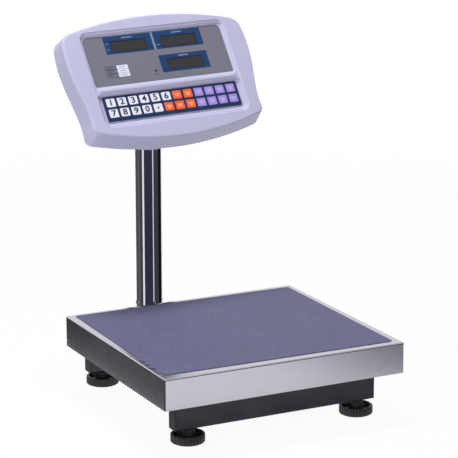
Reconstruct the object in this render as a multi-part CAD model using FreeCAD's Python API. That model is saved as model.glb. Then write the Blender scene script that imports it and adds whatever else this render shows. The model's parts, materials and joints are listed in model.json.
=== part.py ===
import FreeCAD, Part
import math
import os
from FreeCAD import Placement, Rotation, Vector

# Retail price scale: a steel platform on a low under-frame, a column behind it and an indicator head.
# Millimetres. Working axes: X to the right, Y to the back, Z up. The under-frame is modelled about a
# point on the floor between its four feet, and the whole model is centred on its own box at the end.

# ---------------------------------------------------------------- driving dimensions: under-frame
foot_inset_x = 53.8         # feet inside half the pan's width
foot_inset_y = 25.5         # feet, and the beams over them, inside half the pan's depth
beam_overhang = 21.8        # of the beams, outside the feet
beam_width = 20.0
beam_height = 40.0
beam_bottom = 20.5          # height of the beams above the floor
beam_wall = 1.6
beam_corner = 2.0
cap_thickness = 1.5
cap_spigot = 10.0
plug_clearance = 0.1
spine_width = 50.0
spine_drop = 15.0           # top of the spine, below the top of the beams
spine_wall = 2.0
arm_margin = 5.0            # of the arm, to each side of the column
arm_end_margin = 11.0       # of the arm, behind the column
arm_clearance = 3.6         # under the pan's skirt, which the arm passes
arm_wall = 2.0

# ---------------------------------------------------------------- driving dimensions: feet
wheel_radius = 23.7
wheel_rim_height = 12.5
wheel_ribs = 32
wheel_rib_depth = 1.3
wheel_underside = 1.0
wheel_recess_floor = 6.5
wheel_spokes = 6
hub_radius = 9.75
hub_gap = 1.0               # between the hub's top and the beam
sole_inner = 12.0
sole_outer = 20.5
sole_thickness = 3.0
stud_radius = 5.0
stud_seat = 5.0
stud_above_beam = 32.0
thread_clearance = 0.05
stud_hole_clearance = 0.5
nut_flats = 16.0
nut_height = 8.0

# ---------------------------------------------------------------- driving dimensions: column
column_setback = 91.1       # column's axis, behind half the pan's depth
column_radius = 20.0
column_wall = 1.5
column_top = 398.0
socket_wall = 4.4
socket_height = 40.0
socket_clearance = 0.1
column_screw_rise = 23.5    # above the arm
column_screw_radius = 2.0
column_screw_head = 3.8
column_screw_head_height = 2.4
column_screw_length = 7.0
screw_clearance = 0.05

# ---------------------------------------------------------------- driving dimensions: weighing parts
cell_length = 130.0
cell_width = 30.0
cell_height = 25.0
cell_bore = 10.0
cell_bore_pitch = 26.0
cell_end = 30.0             # length of each end that a spacer covers
cell_bolt_pitch = 14.0
cell_bolt_radius = 3.0
cell_bolt_head = 5.0
cell_bolt_head_height = 6.0
cell_bolt_depth = 12.0
cell_bolt_clearance = 0.3
cell_spacer = 4.0
carrier_overhang = 18.8     # of the carrier's arms, outside the feet
carrier_arm_width = 24.0
carrier_height = 20.0
carrier_spine_width = 60.0
carrier_wall = 2.0
pad_radius = 10.0
pad_thickness = 3.0
pad_inset = 16.0            # from the end of a carrier arm to a pad's centre
stop_x = 90.0
stop_radius = 4.0
stop_flats = 13.0
stop_head_height = 5.3
stop_nut_height = 6.5
stop_gap = 1.0              # under the carrier, until an overload closes it
stop_clearance = 0.2

# ---------------------------------------------------------------- driving dimensions: platform
pan_width = 370.0
pan_depth = 334.6
pan_height = 44.3
pan_sheet = 1.2
pan_corner = 2.5
pan_bend = 1.8
pan_shift_x = 6.5           # the pan drops loosely over its carrier and sits a little to the right
pan_shift_y = -3.3          # and to the front of it
mat_inset_left = 9.5
mat_inset_right = 9.5
mat_inset_front = 12.0
mat_inset_back = 9.0
mat_corner = 2.0
mat_thickness = 0.8

# ---------------------------------------------------------------- driving dimensions: head
head_tilt = 58.34           # of the face, from level
head_turn = 7.83            # of the head about the column, as it stands
face_setback = 10.1         # window's top edge, behind the column's front
seam_lift = 3.0             # seam's lowest point, above the rear shell's underside
ridge_level = 5.0           # outer edge of the face, above the window's plane
seam_level = -24.0          # joint between the front and rear shells
shell_wall = 2.5
ridge_round = 3.5
seam_step = 1.0             # rear shell set in from the front one
top_middle_margin = 18.0    # outline beyond the recess: above it in the middle and at the corners
top_corner_margin = 2.0
top_corner_side = 11.0      # and beside it at the top corners
# Sides of the outline: distance beside the recess, and how far down the recess as a part of its height
ridge_side = [(29.5, 0.107), (31.5, 0.301), (29.0, 0.508), (22.6, 0.729), (20.6, 0.9565)]
seam_side = [(30.0, 0.107), (32.5, 0.301), (30.5, 0.508), (25.5, 0.729), (24.4, 1.0234)]
ridge_bottom_side = 12.0    # bottom corners, beside the recess and below it, and the bottom's middle
ridge_bottom_corner = 6.0
ridge_bottom_margin = 25.5
seam_bottom_side = 14.0
seam_bottom_corner = 14.5
seam_bottom_margin = 32.0
rear_gap = 7.6              # from the sleeve's flange to the upright back
rear_inset = 35.0           # upright back's half width, inside the recess's
rear_top_drop = 4.1         # upright back's top, below the window's top edge
rear_corner = 12.0
rear_wall = 5.0
rear_round = 5.0

# Recesses of the face: half width, top, bottom, corner radius at the rim, and how far the walls lean in
recess_depth = 1.5
recess_window_margin = 6.3  # beside the window
recess_side_margin = 0.2    # beyond the walls of the window's and the keypad's own recesses
recess_top_margin = 3.5
recess_bottom_margin = 3.2
recess_corner = 14.0
recess_lean = 2.0
window_half_width = 120.7
window_height = 77.6
window_thickness = 2.0
window_level = 0.4
window_corner = 9.0
window_lean = 3.5
window_lean_depth = 3.1
keypad_gap = 15.8           # from the window's bottom edge to the keypad's top edge
keypad_edge_side = 4.525    # keypad's edge beyond its outer keys
keypad_edge_top = 3.15
keypad_edge_bottom = 5.65
keypad_thickness = 1.6
keypad_level = 0.2
keypad_corner = 2.0
keypad_margin_side = 4.0
keypad_margin_top = 0.6
keypad_margin_bottom = 3.0
keypad_lean_side = 6.0
keypad_lean_top = 3.5
keypad_lean_bottom = 5.0
panel_clearance = 0.15

# ---------------------------------------------------------------- driving dimensions: displays, keys, inside
display_width = 62.5
display_height = 17.8
display_top = 9.0           # below the window's top edge
display_row_pitch = 36.4
display_left = -45.0
display_right = 42.0
display_sink = 0.3
display_clearance = 0.3
key_columns = 12
key_rows = 2
key_pitch = 19.05
key_row_pitch = 16.4
key_width = 15.0
key_height = 12.7
key_corner = 1.5
key_proud = 0.4
key_travel = 0.4
key_floor_gap = 0.1
board_inset = 19.0          # inside the recess's half width
board_top = 1.0
board_bottom_inset = 1.3    # above the keypad's bottom edge
board_level = -12.0
board_thickness = 1.6
standoff_inset = 8.0        # inside the board's side and top edges
standoff_bottom_inset = 7.0
standoff_radius = 3.5
board_screw_radius = 1.3
board_screw_head = 2.8
board_screw_head_height = 1.8
board_screw_length = 6.0
upper_screw_side = 11.0     # upper shell screws, beside the recess and below its top
upper_screw_drop = 22.0
lower_screw_inset = 27.0    # lower shell screws, inside the recess's half width and below it
lower_screw_drop = 7.5
shell_boss_radius = 5.0
shell_well_radius = 4.0
shell_screw_radius = 1.5
shell_screw_head = 3.4
shell_screw_head_height = 2.2
shell_screw_seat = 6.0      # thickness under a shell screw's head
shell_screw_length = 14.0
sleeve_depth = 80.0         # from the column's top down to the sleeve's end
sleeve_showing = 12.0       # length of sleeve below the head
sleeve_wall = 2.0
sleeve_cap = 4.0
sleeve_cable_hole = 8.0
running_clearance = 0.05
flange_rise = 7.0           # flange's underside, above the rear shell's
flange_thickness = 3.0
flange_width = 7.95
pad_disc_margin = 3.0       # of the seat, beyond the flange
pad_disc_drop = 4.0         # of the seat, below the rear shell
flange_screw_inset = 4.0
flange_screw_radius = 1.6
flange_screw_head = 2.8
flange_screw_head_height = 2.0
flange_screw_length = 9.0
battery_width = 97.0
battery_depth = 24.0
battery_height = 52.0
battery_gap = 1.4           # to the sleeve's flange
battery_rise = 8.0          # above the rear shell's underside
battery_rib_root = 3.0
battery_corner = 2.0
rear_window_half_width = 74.0
rear_window_height = 50.0
rear_window_drop = 16.0     # below the top of the upright back
rear_window_thickness = 2.0
rear_window_corner = 5.0

# ---------------------------------------------------------------- driving dimensions: power switch
switch_inset = 30.0         # switch's axis, inside the upright back's half width
switch_rise = 28.0          # and above the rear shell's underside
switch_width = 13.0
switch_height = 19.5
switch_flange = 1.5
switch_flange_thickness = 1.2
switch_depth = 12.0
switch_wall = 1.4
switch_fit = 0.15
rocker_gap = 0.35
rocker_half_height = 7.0
rocker_rise = 3.2
rocker_root = 4.0
rocker_tilt = 8.0           # to each side of level
rocker_pin_radius = 1.0
rocker_pin_length = 0.9

# ---------------------------------------------------------------- worked out from the above
foot_x = pan_width / 2 - foot_inset_x
foot_y = pan_depth / 2 - foot_inset_y
beam_length = 2 * (foot_x + beam_overhang)
carrier_length = 2 * (foot_x + carrier_overhang)
beam_top = beam_bottom + beam_height
spine_height = beam_height - spine_drop
spine_top = beam_bottom + spine_height
cell_bottom = spine_top + cell_spacer
cell_top = cell_bottom + cell_height
carrier_bottom = cell_top + cell_spacer
carrier_top = carrier_bottom + carrier_height
pan_underside = carrier_top + pad_thickness
pan_top = pan_underside + pan_sheet
mat_top = pan_top + mat_thickness
skirt_bottom = pan_top - pan_height
arm_top = skirt_bottom - arm_clearance
arm_height = arm_top - beam_bottom
arm_width = 2 * (column_radius + arm_margin)
arm_overhang = column_radius + arm_end_margin
column_y = pan_depth / 2 + column_setback
column_screw_height = arm_top + column_screw_rise
beam_inner_y = foot_y - beam_width / 2
beam_back_y = foot_y + beam_width / 2
hub_top = beam_bottom - hub_gap
key_top_row = keypad_edge_top + key_height / 2
keypad_half_width = ((key_columns - 1) * key_pitch + key_width) / 2 + keypad_edge_side
keypad_height = keypad_edge_top + key_height + (key_rows - 1) * key_row_pitch + keypad_edge_bottom
keypad_top = -window_height - keypad_gap
keypad_bottom = keypad_top - keypad_height
keypad_floor = keypad_level - keypad_thickness
window_floor = window_level - window_thickness
recess_level = ridge_level - recess_depth
recess_half_width = max(window_half_width + recess_window_margin,
                        keypad_half_width + keypad_margin_side + keypad_lean_side + recess_side_margin)
recess_top = window_lean + recess_top_margin
recess_bottom = keypad_bottom - keypad_margin_bottom - keypad_lean_bottom - recess_bottom_margin
seam_bottom = recess_bottom - seam_bottom_margin
floor_underside = min(window_floor, keypad_floor) - shell_wall
board_half_width = recess_half_width - board_inset
board_bottom = keypad_bottom + board_bottom_inset
standoff_x = board_half_width - standoff_inset
standoff_top = board_top - standoff_inset
standoff_bottom = board_bottom + standoff_bottom_inset
sleeve_radius = column_radius + running_clearance + sleeve_wall
sleeve_bottom = column_top - sleeve_depth
flange_radius = sleeve_radius + flange_width
flange_screw_circle = flange_radius - flange_screw_inset
pad_disc_radius = flange_radius + pad_disc_margin
rear_low = sleeve_bottom + sleeve_showing
flange_bottom = rear_low + flange_rise
pad_disc_bottom = rear_low - pad_disc_drop
face_y = column_y - column_radius + face_setback
face_z = (rear_low + seam_lift - seam_bottom * math.sin(math.radians(head_tilt))
          - seam_level * math.cos(math.radians(head_tilt)))
rear_y = column_y + flange_radius + rear_gap
rear_half_width = recess_half_width - rear_inset
rear_high = face_z - rear_top_drop
battery_front = column_y - flange_radius - battery_gap - battery_depth
battery_bottom = rear_low + battery_rise
rear_window_high = rear_high - rear_window_drop
rear_window_low = rear_window_high - rear_window_height
switch_x = rear_half_width - switch_inset
switch_z = rear_low + switch_rise

X_AXIS = Vector(1, 0, 0)
Y_AXIS = Vector(0, 1, 0)
Z_AXIS = Vector(0, 0, 1)


# ---------------------------------------------------------------- shapes used throughout
def block(x0, x1, y0, y1, z0, z1):
    return Part.makeBox(x1 - x0, y1 - y0, z1 - z0, Vector(x0, y0, z0))


def rod(radius, low, high, x=0.0, y=0.0):
    """Upright cylinder between two heights."""
    return Part.makeCylinder(radius, high - low, Vector(x, y, low), Z_AXIS)


def hexagon(flats, low, high, x=0.0, y=0.0):
    """Upright hexagonal prism."""
    radius = flats / math.sqrt(3)
    corners = [Vector(x + radius * math.cos(math.radians(60 * i)),
                      y + radius * math.sin(math.radians(60 * i)), low) for i in range(6)]
    face = Part.Face(Part.makePolygon(corners + [corners[0]]))
    return face.extrude(Vector(0, 0, high - low))


def rounded_rectangle(x0, x1, y0, y1, level, top_radius, bottom_radius=None):
    """Closed wire of four lines and four arcs, from the top line on, clockwise seen from above."""
    low = top_radius if bottom_radius is None else bottom_radius
    corners = [(x1, y1, top_radius, 1, 1), (x1, y0, low, 1, -1),
               (x0, y0, low, -1, -1), (x0, y1, top_radius, -1, 1)]
    arcs = []
    for x, y, r, sx, sy in corners:
        centre = Vector(x - sx * r, y - sy * r, level)
        up = centre + Vector(0, sy * r, 0)
        out = centre + Vector(sx * r, 0, 0)
        middle = centre + Vector(sx * r, sy * r, 0) * math.sqrt(0.5)
        ends = (up, out) if sx == sy else (out, up)
        arcs.append((ends[0], middle, ends[1]))
    edges = []
    for i, arc in enumerate(arcs):
        edges.append(Part.makeLine(arcs[i - 1][2], arc[0]))
        edges.append(Part.Arc(*arc).toShape())
    return Part.Wire(edges)


def rounded_plate(x0, x1, y0, y1, low, high, top_radius, bottom_radius=None):
    wire = rounded_rectangle(x0, x1, y0, y1, low, top_radius, bottom_radius)
    return Part.Face(wire).extrude(Vector(0, 0, high - low))


def square_tube(width, height, wall, corner, length):
    """Rectangular tube along Z, its section centred on the origin."""
    inner = max(corner - wall, 0.4)
    outside = rounded_plate(-width / 2, width / 2, -height / 2, height / 2, 0, length, corner)
    inside = rounded_plate(-width / 2 + wall, width / 2 - wall, -height / 2 + wall, height / 2 - wall,
                           -1, length + 1, inner)
    return outside.cut(inside)


def along_x(shape):
    """Turn what was drawn along Z so that it runs along X, keeping its Y."""
    return shape.transformed(Placement(Vector(), Rotation(Y_AXIS, 90)).toMatrix())


def along_y(shape):
    """Turn what was drawn along Z so that it runs along Y, keeping its X."""
    return shape.transformed(Placement(Vector(), Rotation(X_AXIS, -90)).toMatrix())


def pan_head_screw(shank_radius, length, head_radius, head_height):
    """Screw along -Z: its head stands on the plane z = 0, and its shank goes down."""
    section = Part.Wire([
        Part.makeLine(Vector(0, 0, -length), Vector(shank_radius, 0, -length)),
        Part.makeLine(Vector(shank_radius, 0, -length), Vector(shank_radius, 0, 0)),
        Part.makeLine(Vector(shank_radius, 0, 0), Vector(head_radius, 0, 0)),
        Part.makeLine(Vector(head_radius, 0, 0), Vector(head_radius, 0, head_height * 0.35)),
        Part.Arc(Vector(head_radius, 0, head_height * 0.35),
                 Vector(head_radius * 0.72, 0, head_height * 0.85),
                 Vector(0, 0, head_height)).toShape(),
        Part.makeLine(Vector(0, 0, head_height), Vector(0, 0, -length)),
    ])
    screw = Part.Face(section).revolve(Vector(), Z_AXIS, 360)
    slot = block(-head_radius * 0.6, head_radius * 0.6, -0.35, 0.35, head_height * 0.55, head_height + 1)
    cross = slot.fuse(slot.rotated(Vector(), Z_AXIS, 90))
    return screw.cut(cross)


def feet_places():
    """Name and centre of each foot: front or rear, left or right."""
    return {"front_left": (-foot_x, -foot_y), "front_right": (foot_x, -foot_y),
            "rear_left": (-foot_x, foot_y), "rear_right": (foot_x, foot_y)}


# ---------------------------------------------------------------- under-frame
def beam(side):
    """Front (side -1) or rear (+1) beam, with its holes for the studs and the overload stops."""
    tube = along_x(square_tube(beam_height, beam_width, beam_wall, beam_corner, beam_length))
    tube.translate(Vector(-beam_length / 2, side * foot_y, beam_bottom + beam_height / 2))
    for sign in (-1, 1):
        hole = rod(stud_radius + stud_hole_clearance, beam_bottom - 1, beam_bottom + beam_wall + 1,
                   sign * foot_x, side * foot_y)
        stop_hole = rod(stop_radius + stop_clearance, beam_top - beam_wall - 1, beam_top + 1,
                        sign * stop_x, side * foot_y)
        tube = tube.cut(hole).cut(stop_hole)
    return tube


def beam_end_caps():
    """Four plugs that close the beams: a flush plate and a spigot inside the tube."""
    plate = rounded_plate(-beam_height / 2, beam_height / 2, -beam_width / 2, beam_width / 2,
                          0, cap_thickness, beam_corner)
    fit = beam_wall + plug_clearance
    spigot = rounded_plate(-beam_height / 2 + fit, beam_height / 2 - fit, -beam_width / 2 + fit,
                           beam_width / 2 - fit, -cap_spigot, 0, max(beam_corner - beam_wall, 0.4))
    plug = along_x(plate.fuse(spigot))
    plug.translate(Vector(beam_length / 2, 0, beam_bottom + beam_height / 2))
    plugs = []
    for side in (-1, 1):
        right = plug.translated(Vector(0, side * foot_y, 0))
        plugs += [right, right.rotated(Vector(0, side * foot_y, 0), Z_AXIS, 180)]
    return Part.makeCompound(plugs)


def foot_nuts():
    """Nuts welded inside the beams, over the holes for the studs."""
    low = beam_bottom + beam_wall
    nuts = []
    for x, y in feet_places().values():
        bore = rod(stud_radius + thread_clearance, low - 1, low + nut_height + 1, x, y)
        nuts.append(hexagon(nut_flats, low, low + nut_height, x, y).cut(bore))
    return Part.makeCompound(nuts)


def base_spine():
    """Centre tube between the beams; the load cell is bolted on its top."""
    tube = along_y(square_tube(spine_width, spine_height, spine_wall, beam_corner, 2 * beam_inner_y))
    tube.translate(Vector(0, -beam_inner_y, beam_bottom + spine_height / 2))
    for y in cell_bolts_y(1):
        tube = tube.cut(rod(cell_bolt_radius + cell_bolt_clearance, spine_top - spine_wall - 1,
                            spine_top + 1, 0, y))
        tube = tube.cut(rod(cell_bolt_head + 1, beam_bottom - 1, beam_bottom + spine_wall + 1, 0, y))
    return tube


def column_arm():
    """Closed tube behind the rear beam, on which the column stands."""
    length = column_y + arm_overhang - beam_back_y
    tube = along_y(square_tube(arm_width, arm_height, arm_wall, beam_corner, length))
    tube.translate(Vector(0, beam_back_y, beam_bottom + arm_height / 2))
    lid = along_y(rounded_plate(-arm_width / 2, arm_width / 2, -arm_height / 2, arm_height / 2,
                                0, arm_wall, beam_corner))
    lid.translate(Vector(0, beam_back_y + length, beam_bottom + arm_height / 2))
    cable_hole = rod(column_radius / 2, arm_top - arm_wall - 1, arm_top + 1, 0, column_y)
    return tube.fuse(lid).cut(cable_hole)


# ---------------------------------------------------------------- column
def column_screw_turns():
    return (0, 90, 180, 270)


def radial_holes(shape, radius):
    """Cut the four column screws' holes through an upright piece."""
    for turn in column_screw_turns():
        drill = Part.makeCylinder(radius, 2 * column_radius, Vector(0, column_y, column_screw_height),
                                  Vector(math.cos(math.radians(turn)), math.sin(math.radians(turn)), 0))
        shape = shape.cut(drill)
    return shape


def column_socket():
    """Upright spigot welded to the arm, inside the foot of the column."""
    outer = column_radius - column_wall - socket_clearance
    ring = rod(outer, arm_top, arm_top + socket_height, 0, column_y)
    ring = ring.cut(rod(outer - socket_wall, arm_top - 1, arm_top + socket_height + 1, 0, column_y))
    return radial_holes(ring, column_screw_radius + screw_clearance)


def column_tube():
    tube = rod(column_radius, arm_top, column_top, 0, column_y)
    tube = tube.cut(rod(column_radius - column_wall, arm_top - 1, column_top + 1, 0, column_y))
    return radial_holes(tube, column_screw_radius + screw_clearance)


def column_screws():
    """Four pan-head screws through the foot of the column into its socket."""
    screw = pan_head_screw(column_screw_radius, column_screw_length, column_screw_head,
                           column_screw_head_height)
    screw = along_x(screw).translated(Vector(column_radius, column_y, column_screw_height))
    axis_foot = Vector(0, column_y, 0)
    return Part.makeCompound([screw.rotated(axis_foot, Z_AXIS, turn) for turn in column_screw_turns()])


# ---------------------------------------------------------------- weighing parts
def cell_bolts_y(side):
    """Bolt positions along the load cell: its fixed end is at the back (+1), its live end in front (-1)."""
    middle = side * (cell_length - cell_end) / 2
    return (middle - cell_bolt_pitch / 2, middle + cell_bolt_pitch / 2)


def load_cell():
    """Single-point cell: a bar weakened by two joined bores, so that it bends a little under load."""
    half = cell_length / 2
    bar = block(-cell_width / 2, cell_width / 2, -half, half, cell_bottom, cell_top)
    middle = (cell_bottom + cell_top) / 2
    for y in (-cell_bore_pitch / 2, cell_bore_pitch / 2):
        bar = bar.cut(Part.makeCylinder(cell_bore, cell_width + 2, Vector(-cell_width / 2 - 1, y, middle),
                                        X_AXIS))
    web = block(-cell_width, cell_width, -cell_bore_pitch / 2, cell_bore_pitch / 2,
                middle - cell_bore / 3, middle + cell_bore / 3)
    bar = bar.cut(web)
    thread = cell_bolt_radius + screw_clearance
    for y in cell_bolts_y(1):
        bar = bar.cut(rod(thread, cell_bottom - 1, cell_bottom + cell_bolt_depth + 1, 0, y))
    for y in cell_bolts_y(-1):
        bar = bar.cut(rod(thread, cell_top - cell_bolt_depth - 1, cell_top + 1, 0, y))
    return bar


def load_cell_mounts():
    """Spacers at the cell's two ends, and the four bolts through them."""
    half = cell_length / 2
    pieces = []
    for side, low in ((1, spine_top), (-1, cell_top)):
        near, far = sorted((side * half, side * (half - cell_end)))
        spacer = block(-cell_width / 2, cell_width / 2, near, far, low, low + cell_spacer)
        for y in cell_bolts_y(side):
            spacer = spacer.cut(rod(cell_bolt_radius + cell_bolt_clearance, low - 1,
                                    low + cell_spacer + 1, 0, y))
        pieces.append(spacer)
    seat_low = spine_top - spine_wall
    seat_high = carrier_bottom + carrier_wall
    for y in cell_bolts_y(1):
        head = rod(cell_bolt_head, seat_low - cell_bolt_head_height, seat_low, 0, y)
        pieces.append(head.fuse(rod(cell_bolt_radius, seat_low, cell_bottom + cell_bolt_depth, 0, y)))
    for y in cell_bolts_y(-1):
        head = rod(cell_bolt_head, seat_high, seat_high + cell_bolt_head_height, 0, y)
        pieces.append(head.fuse(rod(cell_bolt_radius, cell_top - cell_bolt_depth, seat_high, 0, y)))
    return Part.makeCompound(pieces)


def load_carrier():
    """Welded H of tubes on the live end of the cell; the pan rests on the ends of its arms."""
    middle = carrier_bottom + carrier_height / 2
    spine_half = foot_y - carrier_arm_width / 2
    spine = along_y(square_tube(carrier_spine_width, carrier_height, carrier_wall, carrier_wall + 1,
                                2 * spine_half))
    spine.translate(Vector(0, -spine_half, middle))
    for y in cell_bolts_y(-1):
        spine = spine.cut(rod(cell_bolt_radius + cell_bolt_clearance, carrier_bottom - 1,
                              carrier_bottom + carrier_wall + 1, 0, y))
        spine = spine.cut(rod(cell_bolt_head + 1, carrier_top - carrier_wall - 1, carrier_top + 1, 0, y))
    frame = spine
    for side in (-1, 1):
        arm = along_x(square_tube(carrier_height, carrier_arm_width, carrier_wall, carrier_wall + 1,
                                  carrier_length))
        arm.translate(Vector(-carrier_length / 2, side * foot_y, middle))
        frame = frame.fuse(arm)
    return frame


def carrier_pads():
    """Rubber pads at the ends of the carrier's arms."""
    x = carrier_length / 2 - pad_inset
    return Part.makeCompound([rod(pad_radius, carrier_top, pan_underside, sx * x, sy * foot_y)
                              for sx in (-1, 1) for sy in (-1, 1)])


def overload_stops():
    """Bolts with lock nuts on the beams, just under the carrier's arms."""
    head_top = carrier_bottom - stop_gap
    head_low = head_top - stop_head_height
    pieces = []
    for sx in (-1, 1):
        for sy in (-1, 1):
            x, y = sx * stop_x, sy * foot_y
            shank = rod(stop_radius, beam_top - beam_height / 3, head_low, x, y)
            pieces.append(shank.fuse(hexagon(stop_flats, head_low, head_top, x, y)))
            bore = rod(stop_radius + thread_clearance, beam_top - 1, head_low, x, y)
            pieces.append(hexagon(stop_flats, beam_top, beam_top + stop_nut_height, x, y).cut(bore))
    return Part.makeCompound(pieces)


# ---------------------------------------------------------------- platform
def pan_box(inset, corner, bend):
    """Block the size of the pan less an inset all round and on top, with rounded upright and top edges."""
    half_x = pan_width / 2 - inset
    half_y = pan_depth / 2 - inset
    top = pan_top - inset
    body = rounded_plate(pan_shift_x - half_x, pan_shift_x + half_x, pan_shift_y - half_y,
                         pan_shift_y + half_y, skirt_bottom, top, corner)
    edges = [e for e in body.Edges if e.BoundBox.ZMin > top - 0.01]
    return body.makeFillet(bend, edges)


def platform_pan():
    """Folded sheet-steel tray, open below, with a skirt on all four sides."""
    inside = pan_box(pan_sheet, pan_corner - pan_sheet, max(pan_bend - pan_sheet, 0.3))
    below = block(pan_shift_x - pan_width / 2 + pan_corner, pan_shift_x + pan_width / 2 - pan_corner,
                  pan_shift_y - pan_depth / 2 + pan_corner, pan_shift_y + pan_depth / 2 - pan_corner,
                  skirt_bottom - 1, skirt_bottom + 1)
    return pan_box(0, pan_corner, pan_bend).cut(inside.fuse(below))


def platform_mat():
    return rounded_plate(pan_shift_x - pan_width / 2 + mat_inset_left,
                         pan_shift_x + pan_width / 2 - mat_inset_right,
                         pan_shift_y - pan_depth / 2 + mat_inset_front,
                         pan_shift_y + pan_depth / 2 - mat_inset_back,
                         pan_top, mat_top, mat_corner)


# ---------------------------------------------------------------- feet
def ribbed_disc(height):
    """Disc whose edge is a row of round ribs and hollows."""
    step = 2 * math.pi / wheel_ribs

    def rim_point(turn, radius):
        return Vector(radius * math.cos(turn), radius * math.sin(turn), 0)

    edges = []
    valley = wheel_radius - wheel_rib_depth
    shoulder = wheel_radius - wheel_rib_depth * 0.4
    for i in range(wheel_ribs):
        start = i * step
        rib = (rim_point(start, shoulder), rim_point(start + 0.3 * step, wheel_radius),
               rim_point(start + 0.6 * step, shoulder))
        hollow = (rib[2], rim_point(start + 0.8 * step, valley), rim_point(start + step, shoulder))
        edges += [Part.Arc(*rib).toShape(), Part.Arc(*hollow).toShape()]
    return Part.Face(Part.Wire(edges)).extrude(Vector(0, 0, height))


def foot_wheel():
    """Hand wheel with a hub, a groove below for the sole, and its threaded stud as a second solid."""
    rim = wheel_radius - 3.7
    bevel = 1.0
    groove = 0.2
    bore = stud_radius + screw_clearance
    section = [(0, wheel_underside), (sole_inner - groove, wheel_underside),
               (sole_inner - groove, sole_thickness), (sole_outer + groove, sole_thickness),
               (sole_outer + groove, wheel_underside), (wheel_radius - bevel, wheel_underside),
               (wheel_radius, wheel_underside + bevel), (wheel_radius, wheel_rim_height - bevel),
               (wheel_radius - bevel, wheel_rim_height), (rim, wheel_rim_height),
               (rim - bevel, wheel_recess_floor), (hub_radius + bevel, wheel_recess_floor),
               (hub_radius, wheel_recess_floor + bevel), (hub_radius, hub_top - bevel),
               (hub_radius - bevel, hub_top), (bore, hub_top), (bore, stud_seat), (0, stud_seat)]
    points = [Vector(r, 0, z) for r, z in section]
    body = Part.Face(Part.makePolygon(points + [points[0]])).revolve(Vector(), Z_AXIS, 360)
    body = body.common(ribbed_disc(hub_top))
    for i in range(wheel_spokes):
        spoke = block(hub_radius - 1, rim, -0.9, 0.9, wheel_recess_floor - 0.5, wheel_rim_height - 2)
        body = body.fuse(spoke.rotated(Vector(), Z_AXIS, i * 360 / wheel_spokes))
    stud = rod(stud_radius, stud_seat, beam_bottom + stud_above_beam)
    return Part.makeCompound([body.removeSplitter(), stud])


def foot_sole():
    """Rubber ring that stands on the floor while the wheel turns on it."""
    return rod(sole_outer, 0, sole_thickness).cut(rod(sole_inner, -1, sole_thickness + 1))


# ---------------------------------------------------------------- head: placing and outlines
def on_face(shape):
    """Carry a shape from the face's own axes (right, up the face, outwards) to its place."""
    lean = Placement(Vector(0, face_y, face_z), Rotation(X_AXIS, head_tilt))
    return shape.transformed(lean.toMatrix())


def turned(shape):
    """Turn a finished head piece about the column's axis."""
    return shape.rotated(Vector(0, column_y, 0), Z_AXIS, head_turn)


def crossing(point_a, along_a, point_b, along_b):
    """Where two lines in one plane meet."""
    turn = along_a.x * along_b.y - along_a.y * along_b.x
    gap = point_b - point_a
    reach = (gap.x * along_b.y - gap.y * along_b.x) / turn
    return point_a + along_a * reach


def corner_curve(before, after):
    """Curve that carries one edge smoothly into the next."""
    start = before.valueAt(before.LastParameter)
    end = after.valueAt(after.FirstParameter)
    tangent_in = before.tangentAt(before.LastParameter)
    tangent_out = after.tangentAt(after.FirstParameter)
    curve = Part.BezierCurve()
    curve.setPoles([start, crossing(start, tangent_in, end, tangent_out), end])
    return curve.toShape()


def head_outline(side, bottom, level, inset=0.0):
    """Outline of the head at one level. side runs down its right edge, and bottom is the lower arc's
    side, corner and middle, all as margins round the recess. Eight edges, from the top arc on."""
    height = recess_top - recess_bottom
    right = [Vector(recess_half_width + beside - inset, recess_top - down * height, level)
             for beside, down in side]
    left = [Vector(-p.x, p.y, level) for p in reversed(right)]
    arcs = []
    bottom_side, bottom_corner, bottom_margin = bottom
    top_arc = (recess_half_width + top_corner_side, recess_top + top_corner_margin,
               recess_top + top_middle_margin)
    bottom_arc = (recess_half_width + bottom_side, recess_bottom - bottom_corner,
                  recess_bottom - bottom_margin)
    for (x, end, middle), drop, way in ((top_arc, inset, 1), (bottom_arc, -inset, -1)):
        x = x - inset
        arcs.append(Part.Arc(Vector(-way * x, end - drop, level), Vector(0, middle - drop, level),
                             Vector(way * x, end - drop, level)).toShape())
    sides = []
    for points in (right, left):
        curve = Part.BSplineCurve()
        curve.interpolate(points)
        sides.append(curve.toShape())
    ring = [arcs[0], sides[0], arcs[1], sides[1]]
    edges = []
    for i, edge in enumerate(ring):
        edges += [edge, corner_curve(edge, ring[(i + 1) % 4])]
    return Part.Wire(edges)


def ridge_outline(level, inset=0.0):
    bottom = (ridge_bottom_side, ridge_bottom_corner, ridge_bottom_margin)
    return head_outline(ridge_side, bottom, level, inset)


def seam_outline(level, inset=0.0):
    bottom = (seam_bottom_side, seam_bottom_corner, seam_bottom_margin)
    return head_outline(seam_side, bottom, level, inset)


def leaning_pocket(x, y_low, y_high, low, high, corner, lean):
    """Cutter with a flat floor and walls that lean outwards; lean is (side, bottom, top)."""
    side, bottom, top = lean
    floor = rounded_rectangle(-x, x, y_low, y_high, low, corner)
    rim = rounded_rectangle(-x - side, x + side, y_low - bottom, y_high + top, high,
                            corner + (side + top) / 2)
    return Part.makeLoft([floor, rim], True, True)


# ---------------------------------------------------------------- head: shells
def window_plate(level_low, level_high, clearance):
    return rounded_plate(-window_half_width + clearance, window_half_width - clearance,
                         -window_height + clearance, -clearance, level_low, level_high,
                         window_corner, keypad_corner)


def keypad_plate(level_low, level_high, clearance):
    return rounded_plate(-keypad_half_width + clearance, keypad_half_width - clearance,
                         keypad_bottom + clearance, keypad_top - clearance, level_low, level_high,
                         keypad_corner)


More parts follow.
